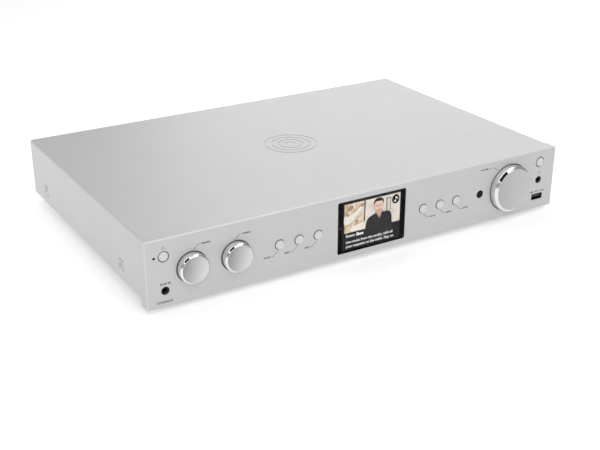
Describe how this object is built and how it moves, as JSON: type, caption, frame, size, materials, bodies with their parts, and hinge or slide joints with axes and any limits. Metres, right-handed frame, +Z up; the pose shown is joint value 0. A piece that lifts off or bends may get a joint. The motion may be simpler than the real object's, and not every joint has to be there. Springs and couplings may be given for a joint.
{
  "type": "stereo receiver",
  "caption": "Slim full-width stereo receiver with an aluminium fascia, tone and volume knobs, push buttons, a colour display, front sockets and a rear panel of connectors.",
  "frame": {"origin": "centre of the bounding box's base: the floor under the feet, in the middle of the width and of the depth with knobs and sockets", "axes": "+Z up, +Y from the fascia to the rear panel, +X to the right seen from the front"},
  "size_m": [0.43, 0.3002, 0.065],
  "materials": {
    "fascia_aluminium": "fine bead-blasted, clear anodised",
    "cover_paint": "fine-textured satin silver paint on steel",
    "rear_paint": "satin dark grey paint",
    "zinc_steel": "galvanised sheet",
    "foot_plastic": "matt black moulded feet",
    "screw_steel": "nickel plated",
    "button_metal": "satin anodised",
    "black_plastic": "moulded black",
    "knob_aluminium": "turned satin face and a bright bevel",
    "index_black": "matt black",
    "shaft_steel": "turned",
    "control_case": "moulded case of a potentiometer or an encoder",
    "display_glass": "clear glass with a black printed border",
    "gasket_rubber": "black foam rubber",
    "lcd_black": "display module, lit in use",
    "ir_plastic": "dark red filter",
    "lamp_plastic": "smoked light pipe",
    "jack_plastic": "black moulded",
    "shell_steel": "tin plated",
    "board_green": "solder-masked glass-fibre board",
    "core_steel": "laminated core and a copper winding",
    "sink_aluminium": "dark anodised extrusion",
    "chip_black": "moulded package",
    "capacitor_sleeve": "shrunk sleeve",
    "ribbon_grey": "flat cable",
    "wire_red": "PVC insulation",
    "gold_brass": "gold plated",
    "lever_red": "moulded red",
    "lever_black": "moulded black"
  },
  "bodies": {
    "case": {"front_fascia": "fascia_aluminium", "front_subframe": "zinc_steel", "chassis_tray": "zinc_steel", "top_cover": "cover_paint", "rear_panel": "rear_paint", "feet": "foot_plastic", "cover_side_screws": "screw_steel", "chassis_screws": "screw_steel", "tact_switches": "black_plastic", "bass_pot": "control_case", "treble_pot": "control_case", "volume_encoder": "control_case", "control_nuts": "shaft_steel", "display_window": "display_glass", "display_gasket": "gasket_rubber", "lcd_panel": "lcd_black", "ir_lens": "ir_plastic", "ir_sensor": "black_plastic", "indicator_light_pipes": "lamp_plastic", "aux_in_jack": "jack_plastic", "headphone_jack": "jack_plastic", "usb_port": "jack_plastic", "control_boards": "board_green", "main_board": "board_green", "power_board": "board_green", "mains_transformer": "core_steel", "heat_sink": "sink_aluminium", "amplifier_chips": "chip_black", "power_capacitors": "capacitor_sleeve", "ribbon_cables": "ribbon_grey", "speaker_wiring": "wire_red", "tuner_module": "shell_steel", "antenna_socket": "gold_brass", "phono_sockets": "gold_brass", "network_socket": "shell_steel", "optical_socket": "jack_plastic", "mains_inlet": "jack_plastic", "speaker_terminal_block": "jack_plastic"},
    "bass_control": {"bass_knob": "knob_aluminium", "bass_knob_index": "index_black", "bass_pot_shaft": "shaft_steel"},
    "treble_control": {"treble_knob": "knob_aluminium", "treble_knob_index": "index_black", "treble_pot_shaft": "shaft_steel"},
    "volume_push": {"encoder_plunger": "black_plastic"},
    "volume_dial": {"volume_knob": "knob_aluminium", "volume_knob_index": "index_black", "volume_encoder_shaft": "shaft_steel"},
    "standby_button": {"standby_button": "button_metal"},
    "source_button": {"source_button": "button_metal"},
    "preset_button": {"preset_button": "button_metal"},
    "info_button": {"info_button": "button_metal"},
    "back_button": {"back_button": "button_metal"},
    "menu_button": {"menu_button": "button_metal"},
    "enter_button": {"enter_button": "button_metal"},
    "mute_button": {"mute_button": "button_metal"},
    "speaker_lever_1": {"speaker_lever_1": "lever_red"},
    "speaker_lever_2": {"speaker_lever_2": "lever_black"},
    "speaker_lever_3": {"speaker_lever_3": "lever_red"},
    "speaker_lever_4": {"speaker_lever_4": "lever_black"}
  },
  "joints": [
    {"name": "bass_turn", "type": "hinge", "parent": "case", "child": "bass_control", "pos_m": [-0.175, -0.1419, 0.035], "axis": [0, -1, 0], "range_deg": [-185, 115]},
    {"name": "treble_turn", "type": "hinge", "parent": "case", "child": "treble_control", "pos_m": [-0.135, -0.1419, 0.035], "axis": [0, -1, 0], "range_deg": [-185, 115]},
    {"name": "volume_press", "type": "slide", "parent": "case", "child": "volume_push", "axis": [0, 1, 0], "range_m": [0, 0.0005], "stiffness_N_per_m": 9000, "springref_m": -0.0002},
    {"name": "volume_turn", "type": "hinge", "parent": "volume_push", "child": "volume_dial", "pos_m": [0.158, -0.1419, 0.035], "axis": [0, -1, 0], "continuous": true},
    {"name": "standby_button_press", "type": "slide", "parent": "case", "child": "standby_button", "axis": [0, 1, 0], "range_m": [0, 0.0005], "stiffness_N_per_m": 2600, "springref_m": -0.0002},
    {"name": "source_button_press", "type": "slide", "parent": "case", "child": "source_button", "axis": [0, 1, 0], "range_m": [0, 0.0005], "stiffness_N_per_m": 2600, "springref_m": -0.0002},
    {"name": "preset_button_press", "type": "slide", "parent": "case", "child": "preset_button", "axis": [0, 1, 0], "range_m": [0, 0.0005], "stiffness_N_per_m": 2600, "springref_m": -0.0002},
    {"name": "info_button_press", "type": "slide", "parent": "case", "child": "info_button", "axis": [0, 1, 0], "range_m": [0, 0.0005], "stiffness_N_per_m": 2600, "springref_m": -0.0002},
    {"name": "back_button_press", "type": "slide", "parent": "case", "child": "back_button", "axis": [0, 1, 0], "range_m": [0, 0.0005], "stiffness_N_per_m": 2600, "springref_m": -0.0002},
    {"name": "menu_button_press", "type": "slide", "parent": "case", "child": "menu_button", "axis": [0, 1, 0], "range_m": [0, 0.0005], "stiffness_N_per_m": 2600, "springref_m": -0.0002},
    {"name": "enter_button_press", "type": "slide", "parent": "case", "child": "enter_button", "axis": [0, 1, 0], "range_m": [0, 0.0005], "stiffness_N_per_m": 2600, "springref_m": -0.0002},
    {"name": "mute_button_press", "type": "slide", "parent": "case", "child": "mute_button", "axis": [0, 1, 0], "range_m": [0, 0.0005], "stiffness_N_per_m": 2600, "springref_m": -0.0002},
    {"name": "lever_1_lift", "type": "hinge", "parent": "case", "child": "speaker_lever_1", "pos_m": [-0.1215, 0.1421, 0.0435], "axis": [1, 0, 0], "range_deg": [-25, 0], "stiffness_Nm_per_rad": 0.08, "springref_deg": 8.59},
    {"name": "lever_2_lift", "type": "hinge", "parent": "case", "child": "speaker_lever_2", "pos_m": [-0.1045, 0.1421, 0.0435], "axis": [1, 0, 0], "range_deg": [-25, 0], "stiffness_Nm_per_rad": 0.08, "springref_deg": 8.59},
    {"name": "lever_3_lift", "type": "hinge", "parent": "case", "child": "speaker_lever_3", "pos_m": [-0.0875, 0.1421, 0.0435], "axis": [1, 0, 0], "range_deg": [-25, 0], "stiffness_Nm_per_rad": 0.08, "springref_deg": 8.59},
    {"name": "lever_4_lift", "type": "hinge", "parent": "case", "child": "speaker_lever_4", "pos_m": [-0.0705, 0.1421, 0.0435], "axis": [1, 0, 0], "range_deg": [-25, 0], "stiffness_Nm_per_rad": 0.08, "springref_deg": 8.59}
  ]
}
